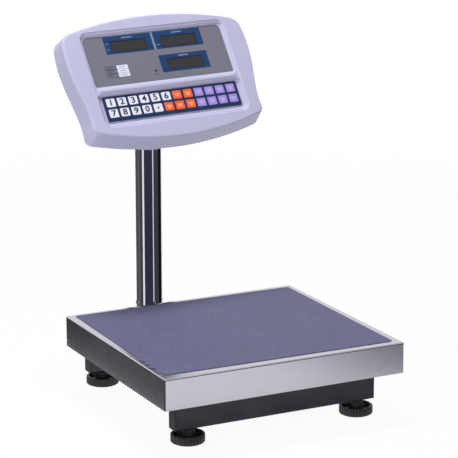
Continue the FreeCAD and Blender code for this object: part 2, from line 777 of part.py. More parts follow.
def face_recesses():
    """Everything that is sunk into the face: the shared recess, the window's and the keypad's."""
    above = ridge_level + 1.0
    lean_above = (above - recess_level) / recess_depth * recess_lean
    shared = leaning_pocket(recess_half_width - recess_lean, recess_bottom + recess_lean,
                            recess_top - recess_lean, recess_level, above,
                            recess_corner - recess_lean, (lean_above,) * 3)
    window = leaning_pocket(window_half_width, -window_height, 0, window_level, recess_level + 0.01,
                            keypad_corner + 1, (window_lean,) * 3)
    window_rim = window_plate(window_floor, window_level + 0.5, 0)
    keypad = leaning_pocket(keypad_half_width + keypad_margin_side,
                            keypad_bottom - keypad_margin_bottom, keypad_top + keypad_margin_top,
                            keypad_floor, recess_level + 0.01, keypad_corner * 2,
                            (keypad_lean_side, keypad_lean_bottom, keypad_lean_top))
    return [shared, window, window_rim, keypad]


def displays_at():
    """Centres of the three displays on the face."""
    first = -display_top - display_height / 2
    return [(display_left, first), (display_right, first), (display_right, first - display_row_pitch)]


def display_block(centre, low, high, grow):
    x, y = centre
    half_x = display_width / 2 + grow
    half_y = display_height / 2 + grow
    return block(x - half_x, x + half_x, y - half_y, y + half_y, low, high)


def shell_screws_at():
    upper = (recess_half_width + upper_screw_side, recess_top - upper_screw_drop)
    lower = (recess_half_width - lower_screw_inset, recess_bottom - lower_screw_drop)
    return [(sx * x, y) for x, y in (upper, lower) for sx in (1, -1)]


def standoffs_at():
    return [(sx * standoff_x, y) for sx in (-1, 1) for y in (standoff_top, standoff_bottom)]


def front_shell():
    """Front housing: leaning walls from the joint up to a rounded ridge, and the recessed face."""
    outside = Part.makeLoft([seam_outline(seam_level), ridge_outline(ridge_level)], True, True)
    ridge = [e for e in outside.Edges if e.BoundBox.ZMin > ridge_level - 0.01]
    outside = outside.makeFillet(ridge_round, ridge)
    inside = Part.makeLoft([seam_outline(seam_level - 0.01, shell_wall),
                            ridge_outline(ridge_level - shell_wall, shell_wall + ridge_round / 3)],
                           True, True)
    backing = block(-recess_half_width - shell_wall, recess_half_width + shell_wall,
                    recess_bottom - shell_wall, recess_top + shell_wall,
                    floor_underside, ridge_level)
    shell = outside.cut(inside.cut(backing))
    for cutter in face_recesses():
        shell = shell.cut(cutter)
    for centre in displays_at():
        shell = shell.cut(display_block(centre, floor_underside - 1, ridge_level, display_clearance))
    for x, y in standoffs_at():
        shell = shell.fuse(rod(standoff_radius, board_level, floor_underside, x, y))
        shell = shell.cut(rod(board_screw_radius + screw_clearance, board_level - 1,
                              board_level + board_screw_length, x, y))
    for x, y in shell_screws_at():
        shell = shell.fuse(rod(shell_boss_radius, seam_level, ridge_level - shell_wall, x, y))
        shell = shell.cut(rod(shell_screw_radius + screw_clearance, seam_level - 1,
                              seam_level + shell_screw_length, x, y))
    return on_face(shell)


def rear_wire(inset):
    """Outline of the head's back, in the upright plane, with edges in the same order as the seam's."""
    flat = rounded_rectangle(-rear_half_width + inset, rear_half_width - inset, rear_low + inset,
                             rear_high - inset, 0, rear_corner - inset / 2)
    return flat.transformed(Placement(Vector(), Rotation(X_AXIS, 90)).toMatrix())


def rear_shell():
    """Rear housing: from the joint back to an upright wall, with the seat for the sleeve."""
    front = on_face(seam_outline(seam_level, seam_step))
    back = [rear_wire(inset * rear_round).translated(Vector(0, rear_y - short * rear_round, 0))
            for inset, short in ((0, 1), (0.3, 0.3), (1, 0))]
    outside = Part.makeLoft([front] + back, True, True)
    inner_front = on_face(seam_outline(seam_level, seam_step + shell_wall))
    inner_back = rear_wire(shell_wall).translated(Vector(0, rear_y - rear_wall, 0))
    shell = outside.cut(Part.makeLoft([inner_front, inner_back], True, True))
    seat = rod(pad_disc_radius, pad_disc_bottom, flange_bottom, 0, column_y)
    shell = shell.fuse(seat).cut(rod(sleeve_radius, pad_disc_bottom - 1, flange_bottom + 1, 0, column_y))
    for x, y in flange_screws_at():
        shell = shell.cut(rod(flange_screw_radius + screw_clearance,
                              flange_bottom + flange_thickness - flange_screw_length,
                              flange_bottom + 1, x, y))
    for sign in (-1, 1):
        x = sign * battery_width * 0.35
        rib = block(x - 4, x + 4, battery_front, battery_front + battery_depth,
                    rear_low + battery_rib_root, battery_bottom)
        shell = shell.fuse(rib)
    for x, y in shell_screws_at():
        well = on_face(rod(shell_boss_radius + 1, seam_level - 90, seam_level, x, y)).common(outside)
        shell = shell.fuse(well)
        shell = shell.cut(on_face(rod(shell_well_radius, seam_level - 91,
                                      seam_level - shell_screw_seat, x, y)))
        shell = shell.cut(on_face(rod(shell_screw_radius + screw_clearance,
                                      seam_level - shell_screw_seat - 1, seam_level + 1, x, y)))
    shell = shell.cut(rear_window_solid(0, 1))
    return shell.cut(switch_opening())


def flange_screws_at():
    return [(flange_screw_circle * math.cos(math.radians(45 + 90 * i)),
             column_y + flange_screw_circle * math.sin(math.radians(45 + 90 * i))) for i in range(4)]


def head_sleeve():
    """Cup that drops over the column and turns on it, with a flange for the rear shell."""
    inner = column_radius + running_clearance
    top = column_top + sleeve_cap
    sleeve = rod(sleeve_radius, sleeve_bottom, top, 0, column_y)
    sleeve = sleeve.fuse(rod(flange_radius, flange_bottom, flange_bottom + flange_thickness, 0, column_y))
    sleeve = sleeve.cut(rod(inner, sleeve_bottom - 1, column_top, 0, column_y))
    sleeve = sleeve.cut(rod(sleeve_cable_hole, column_top - 1, top + 1, 0, column_y))
    for x, y in flange_screws_at():
        sleeve = sleeve.cut(rod(flange_screw_radius + screw_clearance, flange_bottom - 1,
                                flange_bottom + flange_thickness + 1, x, y))
    return sleeve


def head_screws():
    """Screws of the board, of the two shells and of the sleeve's flange."""
    board = pan_head_screw(board_screw_radius, board_screw_length, board_screw_head,
                           board_screw_head_height).rotated(Vector(), X_AXIS, 180)
    shells = pan_head_screw(shell_screw_radius, shell_screw_length, shell_screw_head,
                            shell_screw_head_height).rotated(Vector(), X_AXIS, 180)
    flange = pan_head_screw(flange_screw_radius, flange_screw_length, flange_screw_head,
                            flange_screw_head_height)
    pieces = [on_face(board.translated(Vector(x, y, board_level - board_thickness)))
              for x, y in standoffs_at()]
    pieces += [on_face(shells.translated(Vector(x, y, seam_level - shell_screw_seat)))
               for x, y in shell_screws_at()]
    pieces += [flange.translated(Vector(x, y, flange_bottom + flange_thickness))
               for x, y in flange_screws_at()]
    return Part.makeCompound(pieces)


# ---------------------------------------------------------------- head: displays, keypad and inside
def display_window():
    """Printed front panel with an opening over each display."""
    panel = window_plate(window_floor, window_level, panel_clearance)
    for centre in displays_at():
        panel = panel.cut(display_block(centre, window_floor - 1, window_level + 1, panel_clearance))
    return on_face(panel)


def display_modules():
    """Three displays that stand on the board and fill the panel's openings."""
    return Part.makeCompound([on_face(display_block(c, board_level, window_level - display_sink, 0))
                              for c in displays_at()])


def keys_at():
    """Name and centre of each key on the face, row by row from the left."""
    first = -(key_columns - 1) / 2 * key_pitch
    return {f"key_r{row + 1}_c{column + 1:02d}": (first + column * key_pitch,
                                                 keypad_top - key_top_row - row * key_row_pitch)
            for row in range(key_rows) for column in range(key_columns)}


def key_solid(centre, low, high, grow):
    x, y = centre
    half_x = key_width / 2 + grow
    half_y = key_height / 2 + grow
    return rounded_plate(x - half_x, x + half_x, y - half_y, y + half_y, low, high, key_corner + grow)


def keypad_panel():
    """Keypad plate with an opening for each key."""
    panel = keypad_plate(keypad_floor, keypad_level, 0)
    holes = [key_solid(c, keypad_floor - 1, keypad_level + 1, panel_clearance) for c in keys_at().values()]
    return on_face(panel.cut(holes))


def key(centre):
    body = key_solid(centre, keypad_floor + key_travel + key_floor_gap, keypad_level + key_proud, 0)
    rim = [e for e in body.Edges if e.BoundBox.ZMin > keypad_level + key_proud - 0.01]
    return on_face(body.makeFillet(0.3, rim))


def main_board():
    """Circuit board on the front shell's standoffs."""
    board = block(-board_half_width, board_half_width, board_bottom, board_top,
                  board_level - board_thickness, board_level)
    for x, y in standoffs_at():
        board = board.cut(rod(board_screw_radius + 0.4, board_level - board_thickness - 1,
                              board_level + 1, x, y))
    return on_face(board)


def battery():
    """Rechargeable battery on two ribs in the rear shell, in front of the sleeve."""
    half = battery_width / 2
    body = rounded_plate(-half, half, battery_front, battery_front + battery_depth, battery_bottom,
                         battery_bottom + battery_height, battery_corner)
    for sign in (-1, 1):
        body = body.fuse(block(sign * half * 0.75 - 2.5, sign * half * 0.75 + 2.5,
                               battery_front + battery_depth / 2 - 0.4,
                               battery_front + battery_depth / 2 + 0.4,
                               battery_bottom + battery_height,
                               battery_bottom + battery_height + 6))
    return body


def rear_window_solid(clearance, proud):
    """Customer-side panel, or with proud its pocket, in the upright back of the head."""
    flat = rounded_plate(-rear_window_half_width + clearance, rear_window_half_width - clearance,
                         rear_window_low + clearance, rear_window_high - clearance,
                         -proud, rear_window_thickness, rear_window_corner)
    return flat.transformed(Placement(Vector(0, rear_y, 0), Rotation(X_AXIS, 90)).toMatrix())


# ---------------------------------------------------------------- head: power switch
def switch_block(half_x, half_z, front, back):
    """Block round the switch's axis; front and back are distances outwards from the head's back."""
    return block(switch_x - half_x, switch_x + half_x, rear_y + front, rear_y + back,
                 switch_z - half_z, switch_z + half_z)


def switch_opening():
    return switch_block(switch_width / 2, switch_height / 2, -rear_wall - 1, 1)


def rocker_pivot():
    return Vector(switch_x, rear_y - rocker_root / 2, switch_z)


def switch_frame():
    """Fixed body of the switch: a flange outside, a box through the wall, and bearings for the rocker."""
    half_x = switch_width / 2 - switch_fit
    half_z = switch_height / 2 - switch_fit
    frame = switch_block(half_x + switch_fit + switch_flange, half_z + switch_fit + switch_flange,
                         0, switch_flange_thickness)
    frame = frame.fuse(switch_block(half_x, half_z, -switch_depth, 0))
    hollow = switch_block(half_x - switch_wall, half_z - switch_wall, -switch_depth + switch_wall,
                          switch_flange_thickness + 1)
    pivot = rocker_pivot()
    bearing = Part.makeCylinder(rocker_pin_radius + running_clearance, switch_width,
                                pivot - Vector(switch_width / 2, 0, 0), X_AXIS)
    limit = switch_block(half_x - switch_wall + rocker_pin_length + 0.1, half_z, -switch_depth, 1)
    return frame.cut(hollow).cut(bearing.common(limit))


def switch_rocker():
    """Rocker with a ridge across its middle, pressed in at its lower end."""
    half_x = switch_width / 2 - switch_fit - switch_wall - rocker_gap
    pivot = rocker_pivot()
    slope = math.tan(math.radians(rocker_tilt))
    crown = rocker_root / 2 + rocker_rise
    shoulder = crown - rocker_half_height * slope
    section = [(-rocker_half_height, shoulder), (0, crown), (rocker_half_height, shoulder),
               (rocker_half_height * 0.7, -rocker_root / 2), (-rocker_half_height * 0.7, -rocker_root / 2)]
    points = [pivot + Vector(-half_x, out, up) for up, out in section]
    body = Part.Face(Part.makePolygon(points + [points[0]])).extrude(Vector(2 * half_x, 0, 0))
    reach = half_x + rocker_gap + rocker_pin_length
    pins = Part.makeCylinder(rocker_pin_radius, 2 * reach, pivot - Vector(reach, 0, 0), X_AXIS)
    return body.fuse(pins).rotated(pivot, X_AXIS, rocker_tilt)


# ---------------------------------------------------------------- assembly
def build():
    """Every node of the scale by name, about the under-frame's middle."""
    nodes = {
        "base_front_beam": beam(-1),
        "base_rear_beam": beam(1),
        "base_spine": base_spine(),
        "beam_end_caps": beam_end_caps(),
        "foot_nuts": foot_nuts(),
        "column_arm": column_arm(),
        "column_socket": column_socket(),
        "column_tube": column_tube(),
        "column_screws": column_screws(),
        "load_cell": load_cell(),
        "load_cell_mounts": load_cell_mounts(),
        "load_carrier": load_carrier(),
        "carrier_pads": carrier_pads(),
        "overload_stops": overload_stops(),
        "platform_pan": platform_pan(),
        "platform_mat": platform_mat(),
    }
    wheel = foot_wheel()
    sole = foot_sole()
    for name, (x, y) in feet_places().items():
        nodes[f"foot_wheel_{name}"] = wheel.translated(Vector(x, y, 0))
        nodes[f"foot_sole_{name}"] = sole.translated(Vector(x, y, 0))
    head = {
        "head_front_shell": front_shell(),
        "head_rear_shell": rear_shell(),
        "head_sleeve": head_sleeve(),
        "head_screws": head_screws(),
        "display_window": display_window(),
        "display_modules": display_modules(),
        "keypad_panel": keypad_panel(),
        "main_board": main_board(),
        "battery": battery(),
        "rear_display_window": rear_window_solid(panel_clearance, 0),
        "switch_frame": switch_frame(),
        "switch_rocker": switch_rocker(),
    }
    for name, centre in keys_at().items():
        head[name] = key(centre)
    for name, shape in head.items():
        nodes[name] = turned(shape)
    return nodes


def centring(nodes):
    """Shift that puts the middle of the model's box over the origin; the floor is already at zero."""
    outer = FreeCAD.BoundBox()
    for shape in nodes.values():
        outer.add(shape.optimalBoundingBox(False, False))
    return Vector(-outer.Center.x, -outer.Center.y, 0)


def main():
    nodes = build()
    shift = centring(nodes)
    os.makedirs("parts", exist_ok=True)
    for name, shape in nodes.items():
        shape.translated(shift).exportStep(f"parts/{name}.step")


if __name__ == "__main__":
    main()
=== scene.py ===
"""Retail price scale: materials, prints, mat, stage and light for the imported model.

Metres, in the model's own frame: x to the right, y to the back, z up, the feet's soles at z = 0.
"""
import json
import math
import random

import bmesh
import bpy
from mathutils import Matrix, Vector


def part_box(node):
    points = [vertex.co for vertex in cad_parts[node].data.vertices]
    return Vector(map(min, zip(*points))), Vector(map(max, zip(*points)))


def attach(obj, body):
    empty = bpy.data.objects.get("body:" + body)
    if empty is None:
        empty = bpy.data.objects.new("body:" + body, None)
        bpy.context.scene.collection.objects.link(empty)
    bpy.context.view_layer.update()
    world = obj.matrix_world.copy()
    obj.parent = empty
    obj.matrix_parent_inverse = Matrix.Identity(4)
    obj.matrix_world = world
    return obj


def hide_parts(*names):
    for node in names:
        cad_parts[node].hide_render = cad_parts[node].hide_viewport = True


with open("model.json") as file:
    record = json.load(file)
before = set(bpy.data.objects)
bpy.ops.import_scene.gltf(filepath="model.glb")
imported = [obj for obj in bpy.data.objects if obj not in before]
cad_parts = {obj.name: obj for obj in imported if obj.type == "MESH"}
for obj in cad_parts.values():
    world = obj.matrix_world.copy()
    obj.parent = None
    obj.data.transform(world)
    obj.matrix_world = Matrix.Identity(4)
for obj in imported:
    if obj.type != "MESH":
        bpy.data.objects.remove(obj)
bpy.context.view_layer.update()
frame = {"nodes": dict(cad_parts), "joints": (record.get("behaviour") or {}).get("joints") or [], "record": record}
nodes = frame["nodes"]
scene = bpy.context.scene
scene.view_settings.view_transform = "Standard"
MM = 0.001

# ---------------------------------------------------------------- camera
CAMERA_AZIMUTH = math.radians(27.06)        # to the left of straight ahead
CAMERA_ELEVATION = math.radians(14.23)
CAMERA_DISTANCE = 3.10392
CAMERA_TARGET = Vector((-0.00264, -0.06862, 0.24886))
CAMERA_LENS = 173.40
CAMERA_SENSOR = 36.0
CAMERA_FLAT = math.cos(CAMERA_ELEVATION)
TO_CAMERA = Vector((-math.sin(CAMERA_AZIMUTH) * CAMERA_FLAT, -math.cos(CAMERA_AZIMUTH) * CAMERA_FLAT,
                    math.sin(CAMERA_ELEVATION)))


def aim(thing, direction):
    """Turn a camera or lamp to look along a direction, its top up."""
    thing.rotation_mode = "QUATERNION"
    thing.rotation_quaternion = direction.to_track_quat("-Z", "Y")


def make_camera():
    data = bpy.data.cameras.new("camera")
    data.lens = CAMERA_LENS
    data.sensor_width = CAMERA_SENSOR
    data.clip_start = 0.05
    data.clip_end = 50.0
    camera = bpy.data.objects.new("camera", data)
    scene.collection.objects.link(camera)
    camera.location = CAMERA_TARGET + TO_CAMERA * CAMERA_DISTANCE
    aim(camera, -TO_CAMERA)
    scene.camera = camera


make_camera()

# ---------------------------------------------------------------- colours and node trees
WHITE = (1.0, 1.0, 1.0, 1.0)
MIDDLE = (0.3, 0.7)                 # where most of a noise texture's values lie
MIX_COLOUR_INPUTS = (0, 6, 7)       # factor and the two colours of a Mix node
MIX_COLOUR_OUTPUT = 2


def linear(colour):
    """A colour given in 0..255 sRGB, as the linear values that shaders use."""
    out = []
    for value in colour:
        c = value / 255.0
        out.append(c / 12.92 if c <= 0.04045 else ((c + 0.055) / 1.055) ** 2.4)
    return (*out, 1.0)


def tinted(colour, factor, lift=0.0):
    """A linear colour made darker or lighter."""
    return (*(min(c * factor + lift, 1.0) for c in colour[:3]), 1.0)


class Nodes:
    """A small builder for one node tree."""

    def __init__(self, tree):
        self.tree = tree
        self.coordinates = None

    def feed(self, socket, value):
        """Link an input socket to an output, or set its value."""
        if isinstance(value, bpy.types.NodeSocket):
            self.tree.links.new(value, socket)
        else:
            socket.default_value = value

    def node(self, kind, *values, **named):
        """New node; inputs are given in their order, or by name with _ for a space."""
        made = self.tree.nodes.new(kind)
        for socket, value in zip(made.inputs, values):
            self.feed(socket, value)
        for key, value in named.items():
            self.feed(made.inputs[key.replace("_", " ")], value)
        return made

    def place(self, scale=(1.0, 1.0, 1.0)):
        """Object coordinates, stretched by scale."""
        if self.coordinates is None:
            self.coordinates = self.node("ShaderNodeTexCoord").outputs["Object"]
        return self.node("ShaderNodeMapping", Vector=self.coordinates, Scale=scale).outputs["Vector"]

    def axes(self, vector):
        """The x, y and z of a vector."""
        return self.node("ShaderNodeSeparateXYZ", vector).outputs

    def noise(self, scale, detail, roughness, vector=None):
        return self.node("ShaderNodeTexNoise", Vector=vector or self.place(), Scale=scale, Detail=detail,
                         Roughness=roughness).outputs["Fac"]

    def span(self, value, low, high, from_low=0.0, from_high=1.0):
        """The value's range from_low..from_high mapped to low..high, and held there outside it."""
        return self.node("ShaderNodeMapRange", Value=value, From_Min=from_low, From_Max=from_high,
                         To_Min=low, To_Max=high).outputs["Result"]

    def mix(self, factor, first, second):
        """A colour between two others."""
        made = self.tree.nodes.new("ShaderNodeMix")
        made.data_type = "RGBA"
        for index, value in zip(MIX_COLOUR_INPUTS, (factor, first, second)):
            self.feed(made.inputs[index], value)
        return made.outputs[MIX_COLOUR_OUTPUT]

    def math(self, operation, *values):
        made = self.node("ShaderNodeMath", *values)
        made.operation = operation
        return made.outputs[0]

    def bump(self, height, distance, strength):
        return self.node("ShaderNodeBump", Height=height, Distance=distance,
                         Strength=strength).outputs["Normal"]

    def blend(self, factor, first, second):
        """A shader between two others."""
        return self.node("ShaderNodeMixShader", factor, first.outputs[0], second.outputs[0]).outputs[0]

    def seen(self):
        """1 for rays from the camera, in gloss and through glass, 0 for all that light the object."""
        path = self.node("ShaderNodeLightPath")
        seen = path.outputs["Is Camera Ray"]
        for label in ("Is Glossy Ray", "Is Transmission Ray"):
            seen = self.math("MAXIMUM", seen, path.outputs[label])
        return seen


class Shader(Nodes):
    """A builder for one material, which starts as a Principled shader."""

    def __init__(self, name):
        self.material = bpy.data.materials.new(name)
        self.material.use_nodes = True
        super().__init__(self.material.node_tree)
        self.bsdf = self.tree.nodes["Principled BSDF"]

    def principled(self, **named):
        for key, value in named.items():
            self.feed(self.bsdf.inputs[key.replace("_", " ")], value)

    def surface(self, shader):
        """Another shader in the Principled one's place."""
        self.tree.nodes.remove(self.bsdf)
        self.feed(self.tree.nodes["Material Output"].inputs["Surface"], shader)


# ---------------------------------------------------------------- materials
SMOOTH_GRAIN, SMOOTH_DEPTH = 3000.0, 0.00001
BRUSH_LONG, BRUSH_FINE = 14.0, 2600.0       # noise scale along and across the brush lines
# Painted shade: a dark line under the pan's rolled top edge, standing in for that edge's shadow and dark
# reflection
SHADE_LINE_TOP = (0.0010, 0.0013)            # depths between which the painted shade line under the pan's fold fades in
SHADE_LINE_BOTTOM = (0.0021, 0.0024)         # and those between which it fades out
SHADE_LINE_TONE = (0.03, 0.03, 0.035, 1.0)


def moulded(name, colour, roughness, grain=2200.0, depth=0.00004, vary=0.04):
    """Plastic, rubber or print: a fine grain, and slow changes of tone and gloss."""
    s = Shader(name)
    base = linear(colour)
    slow = s.noise(9.0, 3.0, 0.55)
    fine = s.noise(grain, 2.0, 0.6)
    tone = s.mix(s.span(slow, 0.0, 1.0, *MIDDLE), tinted(base, 1.0 - vary), tinted(base, 1.0 + vary))
    s.principled(Base_Color=tone, Roughness=s.span(fine, roughness - 0.05, roughness + 0.05, *MIDDLE),
                 Normal=s.bump(fine, depth, 0.5))
    return s.material


def smooth(name, colour, roughness=0.4, vary=0.02):
    """Glossier plastic or print, with hardly any grain."""
    return moulded(name, colour, roughness, SMOOTH_GRAIN, SMOOTH_DEPTH, vary)


def painted(name, colour, roughness):
    """Sprayed paint on steel: faint orange peel and a little dust in the tone."""
    s = Shader(name)
    base = linear(colour)
    peel = s.noise(420.0, 2.0, 0.5)
    dust = s.noise(38.0, 5.0, 0.65)
    s.principled(Base_Color=s.mix(s.span(dust, 0.0, 1.0, 0.45, 0.8), base, tinted(base, 1.25, 0.002)),
                 Roughness=s.span(dust, roughness, roughness + 0.14, 0.35, 0.75),
                 Normal=s.bump(peel, 0.00012, 0.35))
    return s.material


def metal(name, colour, roughness, scratches=0.3, grain=900.0):
    """Plated, milled or polished metal with faint handling marks."""
    s = Shader(name)
    base = linear(colour)
    marks = s.noise(grain, 3.0, 0.6)
    smear = s.noise(26.0, 4.0, 0.6)
    s.principled(Base_Color=s.mix(s.span(smear, 0.0, 1.0, 0.35, 0.7), base, tinted(base, 0.9)), Metallic=1.0,
                 Roughness=s.span(smear, roughness, roughness + 0.06, 0.3, 0.8),
                 Normal=s.bump(marks, 0.00001, scratches))
    return s.material


def brushed_steel(name, colour, top):
    """Sheet steel brushed along its faces, with a painted shade line just under its folded top edge."""
    s = Shader(name)
    base = linear(colour)
    facing = s.axes(s.node("ShaderNodeNewGeometry").outputs["Normal"])
    sideways = s.span(s.math("ABSOLUTE", facing[0]), 0.0, 1.0, 0.65, 0.75)
    upright = s.span(s.math("ABSOLUTE", facing[2]), 1.0, 0.0, 0.3, 0.6)
    along_x = s.noise(1.0, 4.0, 0.65, s.place((BRUSH_LONG, BRUSH_FINE, BRUSH_FINE)))
    along_y = s.noise(1.0, 4.0, 0.65, s.place((BRUSH_FINE, BRUSH_LONG, BRUSH_FINE)))
    brushed = s.math("ADD", s.math("MULTIPLY", along_y, sideways),
                     s.math("MULTIPLY", along_x, s.math("SUBTRACT", 1.0, sideways)))
    smear = s.noise(17.0, 3.0, 0.55)
    # painted shade line: dark just below the folded top edge, on the upright faces only
    depth = s.math("SUBTRACT", top, s.axes(s.place())[2])
    line = s.math("MULTIPLY", s.span(depth, 0.0, 1.0, *SHADE_LINE_TOP),
                  s.span(depth, 1.0, 0.0, *SHADE_LINE_BOTTOM))
    tone = s.mix(s.span(brushed, 0.0, 0.55, *MIDDLE), base, tinted(base, 0.97))
    tone = s.mix(s.math("MULTIPLY", line, upright), tone, SHADE_LINE_TONE)
    dull = s.math("ADD", s.span(brushed, 0.2, 0.28, *MIDDLE), s.span(smear, 0.0, 0.02, 0.4, 0.7))
    s.principled(Base_Color=tone, Metallic=1.0, Anisotropic=0.45, Roughness=dull,
                 Normal=s.bump(brushed, 0.00001, 0.12))
    return s.material


def grained_film(name, colour):
    """Blue-violet mat film: fine two-tone speckle with a soft sheen."""
    s = Shader(name)
    base = linear(colour)
    light = tinted(base, 1.5)
    speck = s.noise(640.0, 4.0, 0.75)
    cloud = s.noise(16.0, 4.0, 0.6)
    tone = s.mix(s.span(speck, 0.0, 1.0, 0.38, 0.62), tinted(base, 0.55), light)
    tone = s.mix(s.span(cloud, 0.0, 0.15, 0.35, 0.7), tone, light)
    s.principled(Base_Color=tone, Roughness=s.span(speck, 0.6, 0.72, *MIDDLE), Specular_IOR_Level=0.25,
                 Normal=s.bump(speck, 0.00012, 0.5))
    return s.material


def dark_glass(name, colour):
    """Dark display filter: glossy, with faint changes of tone and gloss."""
    s = Shader(name)
    base = linear(colour)
    cloud = s.noise(60.0, 2.0, 0.5)
    s.principled(Base_Color=s.mix(cloud, base, tinted(base, 1.15)), Roughness=s.span(cloud, 0.16, 0.22))
    return s.material


# Each slot of the record: the kind of material, its colour, and that function's other values
LOOKS = {
    "frame_paint": (painted, (45, 44, 53), 0.3),
    "end_cap_plastic": (moulded, (27, 27, 30), 0.6),
    "zinc_steel": (metal, (196, 198, 200), 0.3),
    "carrier_steel": (painted, (84, 84, 88), 0.45),
    "column_chrome": (metal, (232, 232, 236), 0.05, 0.05, 300.0),
    "cell_aluminium": (metal, (214, 216, 220), 0.35),
    "rubber": (moulded, (36, 36, 37), 0.8, 1400.0),
    "pan_stainless": (brushed_steel, (199, 196, 206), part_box("platform_pan")[1].z),
    "mat_film": (grained_film, (90, 90, 118)),
    "foot_plastic": (moulded, (31, 30, 35), 0.42, 1500.0),
    "shell_plastic": (moulded, (180, 179, 208), 0.4, 2400.0, 0.00003, 0.015),
    "sleeve_plastic": (moulded, (185, 184, 215), 0.45, 2400.0),
    "window_print": (smooth, (112, 112, 124), 0.36, 0.03),
    "display_glass": (dark_glass, (50, 50, 52)),
    "keypad_print": (smooth, (20, 44, 80), 0.36, 0.03),
    "board": (moulded, (22, 92, 52), 0.35, 700.0),
    "black_plastic": (moulded, (30, 30, 32), 0.45),
    "key_white": (smooth, (222, 222, 238), 0.34, 0.01),
    "key_orange": (smooth, (241, 98, 48), 0.34, 0.02),
    "key_purple": (smooth, (156, 138, 212), 0.34, 0.02),
}
# Each print: its colour, and where they differ from smooth's own, its roughness and change of tone
INKS = {
    "blue": ((24, 57, 104), 0.34, 0.03),
    "dim": ((120, 150, 190),),
    "navy": ((20, 28, 66),),
    # dark rim round each display glass: partly the display's own rim, partly painted shade at the glass's edge
    "shaded_bezel": ((28, 28, 31),),
    "white": ((216, 216, 236),),
    "black": ((22, 22, 30), 0.36),
    "light_orange": ((250, 190, 160), 0.36),
    "light_purple": ((196, 184, 232), 0.36),
}
looks = {slot: make(slot, *values) for slot, (make, *values) in LOOKS.items()}
inks = {ink: smooth("ink_" + ink, *values) for ink, values in INKS.items()}
for part in frame["record"]["subparts"]:
    mesh = nodes[part["node"]].data
    mesh.materials.clear()
    mesh.materials.append(looks[part["material_slot"]])


# ---------------------------------------------------------------- the tilted face's own axes
press = next(j for j in frame["joints"] if j["name"] == "key_r1_c01_press")["axis"]
FACE_OUT = -Vector(press).normalized()
FACE_RIGHT = Vector((0, 0, 1)).cross(FACE_OUT).normalized()
FACE_UP = FACE_OUT.cross(FACE_RIGHT).normalized()


def extent(node, direction):
    """Lowest and highest reach of a node along a direction."""
    reach = [v.co.dot(direction) for v in nodes[node].data.vertices]
    return min(reach), max(reach)


def face_origin():
    """Middle of the display window's top edge, on its printed surface."""
    left, right = extent("display_window", FACE_RIGHT)
    return (FACE_RIGHT * (left + right) / 2 + FACE_UP * extent("display_window", FACE_UP)[1]
            + FACE_OUT * extent("display_window", FACE_OUT)[1])


ORIGIN = face_origin()
FACE = Matrix((FACE_RIGHT, FACE_UP, FACE_OUT)).transposed().to_4x4()
FACE.translation = ORIGIN


def on_face(u, v, w=0.0):
    """Point for millimetres right of the window's middle, down from its top and outwards."""
    return FACE @ Vector((u * MM, -v * MM, w * MM))


def key_place(key):
    """Millimetres right and down of a key's middle, and outwards to its top."""
    low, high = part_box(key)
    local = FACE.inverted() @ ((low + high) / 2)
    return local.x / MM, -local.y / MM, (extent(key, FACE_OUT)[1] - ORIGIN.dot(FACE_OUT)) / MM


# ---------------------------------------------------------------- pieces in face millimetres
PRINT = 0.06                # height of a print above its surface
PRINT_SUNK = 0.02           # and how far it reaches under it
LETTER_RESOLUTION = 4


def add_piece(name, mesh, look, body):
    piece = bpy.data.objects.new(name, mesh)
    scene.collection.objects.link(piece)
    mesh.materials.clear()
    mesh.materials.append(look)
    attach(piece, body)
    return piece


def around(u, v, half_u, half_v):
    """Box (left, right, top, bottom) round a middle."""
    return u - half_u, u + half_u, v - half_v, v + half_v


def shrunk(box, inset):
    u0, u1, v0, v1 = box
    return u0 + inset, u1 - inset, v0 + inset, v1 - inset


def rounded(box, radius, steps):
    """Closed outline of a box with rounded corners."""
    u0, u1, v0, v1 = shrunk(box, radius)
    points = []
    for cu, cv, start in ((u1, v1, 0), (u0, v1, 90), (u0, v0, 180), (u1, v0, 270)):
        for i in range(steps + 1):
            turn = math.radians(start + 90.0 * i / steps)
            points.append((cu + radius * math.cos(turn), cv + radius * math.sin(turn)))
    return points


def circle(u, v, radius, steps=24):
    turns = [2 * math.pi * i / steps for i in range(steps)]
    return [(u + radius * math.cos(turn), v + radius * math.sin(turn)) for turn in turns]


def curve_to_mesh(name, curve, level, shift=(0.0, 0.0), widen=1.0):
    """Turn a curve or text drawn in face metres into a mesh on the face."""
    holder = bpy.data.objects.new(name + "_outline", curve)
    scene.collection.objects.link(holder)
    bpy.context.view_layer.update()
    mesh = bpy.data.meshes.new_from_object(holder.evaluated_get(bpy.context.evaluated_depsgraph_get()))
    bpy.data.objects.remove(holder)
    mesh.name = name
    mesh.transform(Matrix.Diagonal((widen, 1.0, 1.0, 1.0)))
    mesh.transform(Matrix.Translation(Vector((shift[0] * MM, -shift[1] * MM, level * MM))))
    mesh.transform(FACE)
    return mesh


def flat_mesh(name, loops, low, high):
    """Plate between two levels from closed outlines; an outline inside another is a hole."""
    curve = bpy.data.curves.new(name, "CURVE")
    curve.dimensions = "2D"
    curve.fill_mode = "BOTH"
    curve.extrude = (high - low) / 2 * MM
    for loop in loops:
        spline = curve.splines.new("POLY")
        spline.points.add(len(loop) - 1)
        spline.use_cyclic_u = True
        for point, (u, v) in zip(spline.points, loop):
            point.co = (u * MM, -v * MM, 0.0, 1.0)
    return curve_to_mesh(name, curve, (low + high) / 2)


def printed(name, loops, ink, level=0.0, body="head"):
    """Thin print on a surface at a level of the face."""
    mesh = flat_mesh(name, loops, level - PRINT_SUNK, level + PRINT)
    return add_piece(name, mesh, inks[ink], body)


